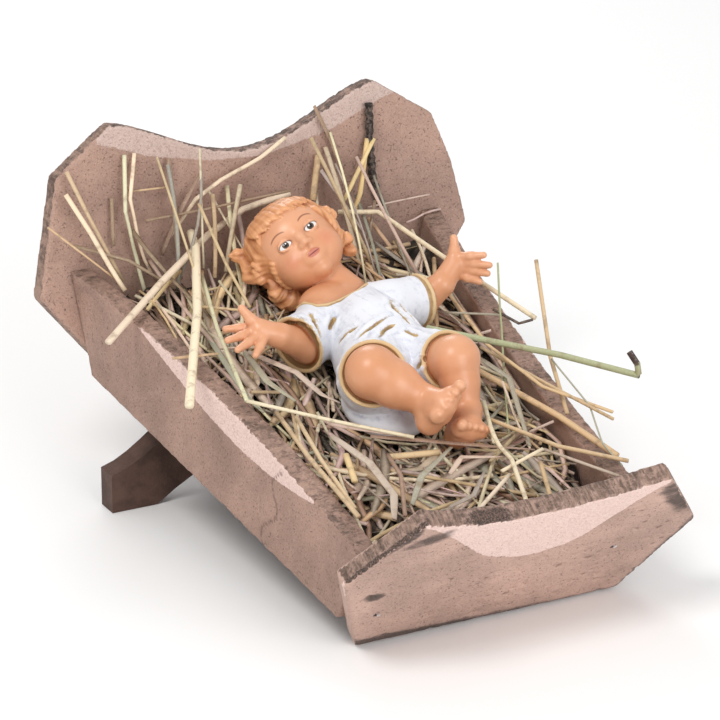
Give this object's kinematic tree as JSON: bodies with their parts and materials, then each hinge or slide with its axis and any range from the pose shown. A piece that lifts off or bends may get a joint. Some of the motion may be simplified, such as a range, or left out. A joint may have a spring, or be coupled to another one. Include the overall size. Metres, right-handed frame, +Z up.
{
  "type": "nativity infant figurine in a straw-filled manger",
  "caption": "Painted cast infant figurine in a white gown lying with open arms on straw in a rustic brown board manger that stands on an arched foot",
  "frame": {"origin": "middle of the footprint on the ground", "axes": "+X to the figure's own left (across the manger), +Y from the footboard to the headboard, +Z up"},
  "size_m": [0.2218, 0.2912, 0.167],
  "materials": {
    "figure_paint": "cast resin with hand-painted skin, hair and white gown, satin gloss on the skin",
    "painted_board": "mauve-brown painted fibreboard with rough charred edges and a pale brushed highlight",
    "dark_board": "dark brown matt painted board",
    "nail_steel": "bright brad heads",
    "dark_twig": "dark rough bark",
    "straw": "dry straw and hay, matt",
    "green_straw": "green-yellow dry stalk, slightly shiny"
  },
  "bodies": {
    "root": {"infant_figure": "figure_paint", "headboard": "painted_board", "footboard": "painted_board", "left_side_board": "painted_board", "right_side_board": "painted_board", "floor_board": "dark_board", "arched_foot": "dark_board", "brad_nail_left": "nail_steel", "brad_nail_right": "nail_steel", "dark_twig": "dark_twig", "straw_bed": "straw", "green_straw_with_knee": "green_straw", "upright_straw": "straw", "leaning_straw": "straw", "low_straw": "straw", "bent_long_straw": "straw"}
  },
  "joints": []
}
